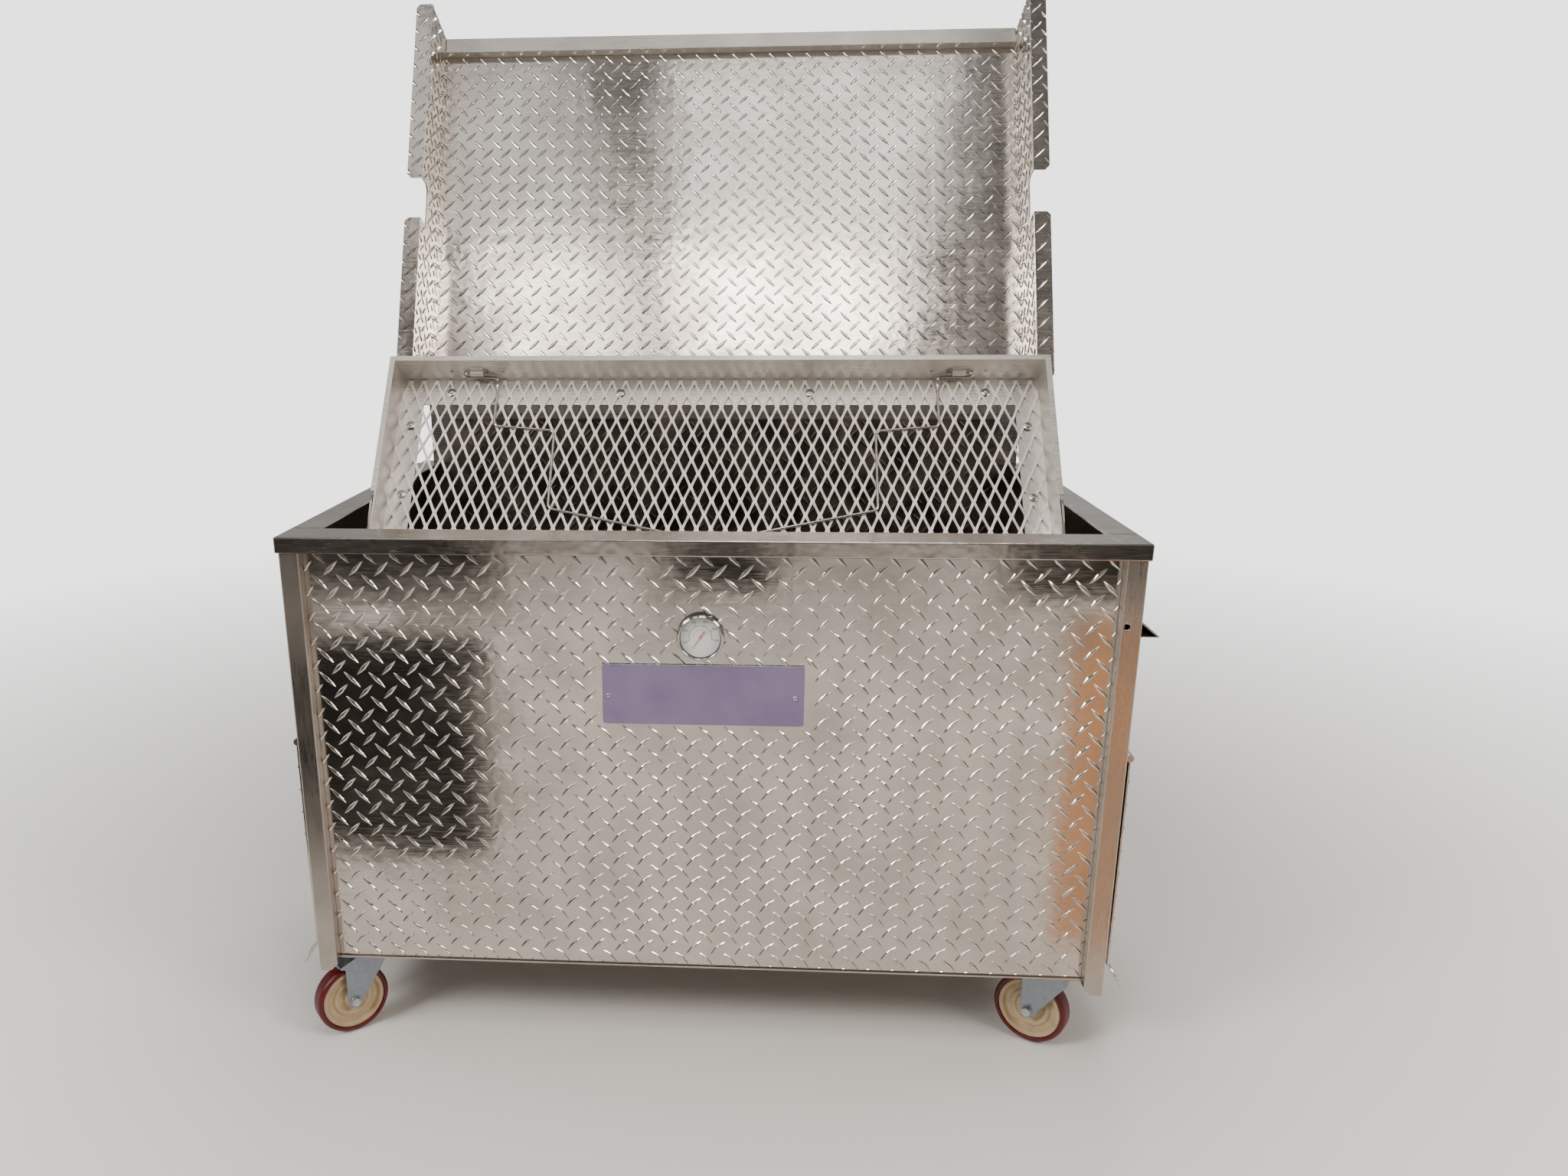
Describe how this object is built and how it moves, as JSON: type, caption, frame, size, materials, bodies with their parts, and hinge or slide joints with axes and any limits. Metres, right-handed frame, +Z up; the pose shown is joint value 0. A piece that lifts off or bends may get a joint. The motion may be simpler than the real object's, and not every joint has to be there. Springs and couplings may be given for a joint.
{
  "type": "pig roasting box",
  "caption": "Aluminium tread plate roasting box on swivel casters with a hinged lid, tilting grill tray with wire bail, end charcoal doors and a dial thermometer.",
  "frame": {"origin": "middle of the footprint of the whole object, on the ground", "axes": "+Z up, +Y from the front panel to the back, +X to the right seen from the front"},
  "size_m": [1.398, 1.1776, 1.8544],
  "materials": {
    "tread_plate": "bright mill finish with raised lugs",
    "smooth_aluminium": "mill finish",
    "grill_steel": "plain, dull",
    "liner_steel": "dark, smoke stained",
    "hinge_steel": "plain",
    "bright_steel": "polished",
    "zinc_steel": "blue zinc plate",
    "dial_face": "white, satin",
    "dial_glass": "clear",
    "pointer_paint": "red",
    "plate_face": "violet grey, satin",
    "wheel_tread": "dark red, satin",
    "wheel_hub": "cream"
  },
  "bodies": {
    "box": {"front_panel": "tread_plate", "back_panel": "tread_plate", "floor_panel": "smooth_aluminium", "left_end_panel": "tread_plate", "right_end_panel": "tread_plate", "back_liner": "liner_steel", "back_top_rail": "smooth_aluminium", "front_left_post": "smooth_aluminium", "front_right_post": "smooth_aluminium", "rear_left_post": "smooth_aluminium", "rear_right_post": "smooth_aluminium", "front_rim": "tread_plate", "left_end_rim": "tread_plate", "right_end_rim": "tread_plate", "end_grab_rail": "smooth_aluminium", "thermometer_housing": "bright_steel", "thermometer_dial": "dial_face", "thermometer_glass": "dial_glass", "thermometer_stem": "hinge_steel", "nameplate": "plate_face", "left_tray_pivot": "hinge_steel", "right_tray_pivot": "hinge_steel", "left_door_hinge_rail": "smooth_aluminium", "right_door_hinge_rail": "smooth_aluminium", "lid_hinge_body_leaf": "hinge_steel", "lid_hinge_pin": "hinge_steel", "front_left_caster_plate": "zinc_steel", "front_right_caster_plate": "zinc_steel", "rear_left_caster_plate": "zinc_steel", "rear_right_caster_plate": "zinc_steel"},
    "lid": {"lid_plate": "tread_plate", "lid_left_wall": "tread_plate", "lid_right_wall": "tread_plate", "lid_front_rail": "smooth_aluminium", "lid_hinge_lid_leaf": "hinge_steel"},
    "tray": {"tray_pan": "smooth_aluminium", "tray_mesh": "grill_steel", "tray_left_strap": "smooth_aluminium", "tray_right_strap": "smooth_aluminium"},
    "bail": {"wire_bail": "grill_steel"},
    "left_door": {"left_door": "tread_plate"},
    "right_door": {"right_door": "tread_plate"},
    "pointer": {"thermometer_pointer": "pointer_paint"},
    "front_left_swivel": {"front_left_caster_fork": "zinc_steel", "front_left_caster_axle": "bright_steel"},
    "front_left_wheel": {"front_left_wheel_hub": "wheel_hub", "front_left_wheel_tread": "wheel_tread"},
    "front_right_swivel": {"front_right_caster_fork": "zinc_steel", "front_right_caster_axle": "bright_steel"},
    "front_right_wheel": {"front_right_wheel_hub": "wheel_hub", "front_right_wheel_tread": "wheel_tread"},
    "rear_left_swivel": {"rear_left_caster_fork": "zinc_steel", "rear_left_caster_axle": "bright_steel"},
    "rear_left_wheel": {"rear_left_wheel_hub": "wheel_hub", "rear_left_wheel_tread": "wheel_tread"},
    "rear_right_swivel": {"rear_right_caster_fork": "zinc_steel", "rear_right_caster_axle": "bright_steel"},
    "rear_right_wheel": {"rear_right_wheel_hub": "wheel_hub", "rear_right_wheel_tread": "wheel_tread"}
  },
  "joints": [
    {"name": "lid_hinge", "type": "hinge", "parent": "box", "child": "lid", "pos_m": [0, 0.2375, 1.0288], "axis": [1, 0, 0], "range_deg": [0, 114.5]},
    {"name": "tray_tilt", "type": "hinge", "parent": "box", "child": "tray", "pos_m": [0, -0.5094, 0.5873], "axis": [-1, 0, 0], "range_deg": [0, 52]},
    {"name": "bail_swing", "type": "hinge", "parent": "tray", "child": "bail", "pos_m": [0, -0.11516, 1.11303], "axis": [-1, 0, 0], "range_deg": [0, 100]},
    {"name": "left_door_swing", "type": "hinge", "parent": "box", "child": "left_door", "pos_m": [-0.6715, -0.1638, 0.548], "axis": [0, 1, 0], "range_deg": [0, 110]},
    {"name": "right_door_swing", "type": "hinge", "parent": "box", "child": "right_door", "pos_m": [0.6715, -0.1638, 0.548], "axis": [0, -1, 0], "range_deg": [0, 110]},
    {"name": "pointer_turn", "type": "hinge", "parent": "box", "child": "pointer", "pos_m": [-0.0045, -0.5688, 0.744], "axis": [0, 1, 0], "range_deg": [0, 252], "stiffness_Nm_per_rad": 0.003},
    {"name": "front_left_swivel_turn", "type": "hinge", "parent": "box", "child": "front_left_swivel", "pos_m": [-0.5975, -0.5118, 0.145], "axis": [0, 0, 1], "continuous": true},
    {"name": "front_left_wheel_spin", "type": "hinge", "parent": "front_left_swivel", "child": "front_left_wheel", "pos_m": [-0.62508, -0.53335, 0.0635], "axis": [-0.6157, 0.788, 0], "continuous": true},
    {"name": "front_right_swivel_turn", "type": "hinge", "parent": "box", "child": "front_right_swivel", "pos_m": [0.5975, -0.5118, 0.145], "axis": [0, 0, 1], "continuous": true},
    {"name": "front_right_wheel_spin", "type": "hinge", "parent": "front_right_swivel", "child": "front_right_wheel", "pos_m": [0.56815, -0.49274, 0.0635], "axis": [0.5446, 0.8387, 0], "continuous": true},
    {"name": "rear_left_swivel_turn", "type": "hinge", "parent": "box", "child": "rear_left_swivel", "pos_m": [-0.5975, 0.1842, 0.145], "axis": [0, 0, 1], "continuous": true},
    {"name": "rear_left_wheel_spin", "type": "hinge", "parent": "rear_left_swivel", "child": "rear_left_wheel", "pos_m": [-0.62947, 0.16996, 0.0635], "axis": [-0.4067, 0.9135, 0], "continuous": true},
    {"name": "rear_right_swivel_turn", "type": "hinge", "parent": "box", "child": "rear_right_swivel", "pos_m": [0.5975, 0.1842, 0.145], "axis": [0, 0, 1], "continuous": true},
    {"name": "rear_right_wheel_spin", "type": "hinge", "parent": "rear_right_swivel", "child": "rear_right_wheel", "pos_m": [0.56327, 0.19147, 0.0635], "axis": [0.2079, 0.9781, 0], "continuous": true}
  ],
  "couplings": [
    {"joint": "tray_tilt", "follows": "lid_hinge", "ratio": 0.4541}
  ]
}
